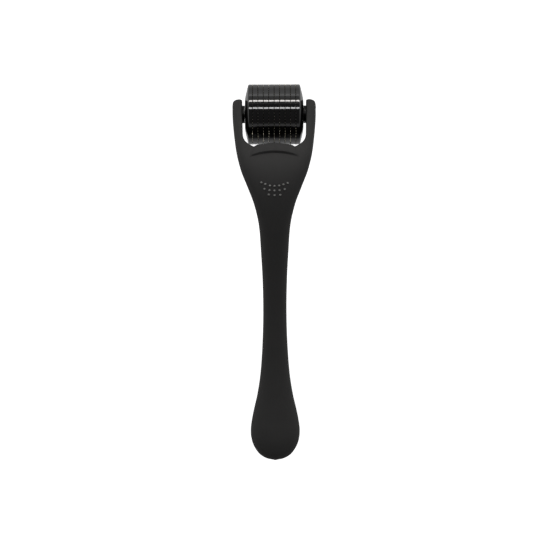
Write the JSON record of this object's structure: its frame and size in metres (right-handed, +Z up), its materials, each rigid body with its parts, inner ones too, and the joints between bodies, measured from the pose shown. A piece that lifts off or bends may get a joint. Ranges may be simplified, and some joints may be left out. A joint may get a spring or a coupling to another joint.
{
  "type": "derma roller",
  "caption": "Hand-held derma roller: a free-turning needle drum in the fork of a curved two-shell moulded handle.",
  "frame": {"origin": "centre of the bottom of the bounding box, on the surface that the roller lies on, thumb side up", "axes": "+X along the drum's axle, +Y along the handle towards the drum, +Z up"},
  "size_m": [0.0326, 0.1472, 0.0332],
  "materials": {
    "handle": "soft-touch satin black",
    "bush": "smooth black",
    "axle": "ground steel",
    "hub": "moulded black",
    "drum": "polished black",
    "needles": "stamped and etched bright metal"
  },
  "bodies": {
    "handle": {"front_shell": "handle", "back_shell": "handle", "left_bush": "bush", "right_bush": "bush"},
    "drum": {"axle": "axle", "core": "hub", "left_end_cap": "drum", "right_end_cap": "drum", "disc_1": "needles", "disc_2": "needles", "disc_3": "needles", "disc_4": "needles", "disc_5": "needles", "disc_6": "needles", "disc_7": "needles", "disc_8": "needles", "disc_9": "needles", "spacer_1": "drum", "spacer_2": "drum", "spacer_3": "drum", "spacer_4": "drum", "spacer_5": "drum", "spacer_6": "drum", "spacer_7": "drum", "spacer_8": "drum"}
  },
  "joints": [
    {"name": "drum_spin", "type": "hinge", "parent": "handle", "child": "drum", "pos_m": [0, 0.06157, 0.012], "axis": [1, 0, 0], "continuous": true}
  ]
}
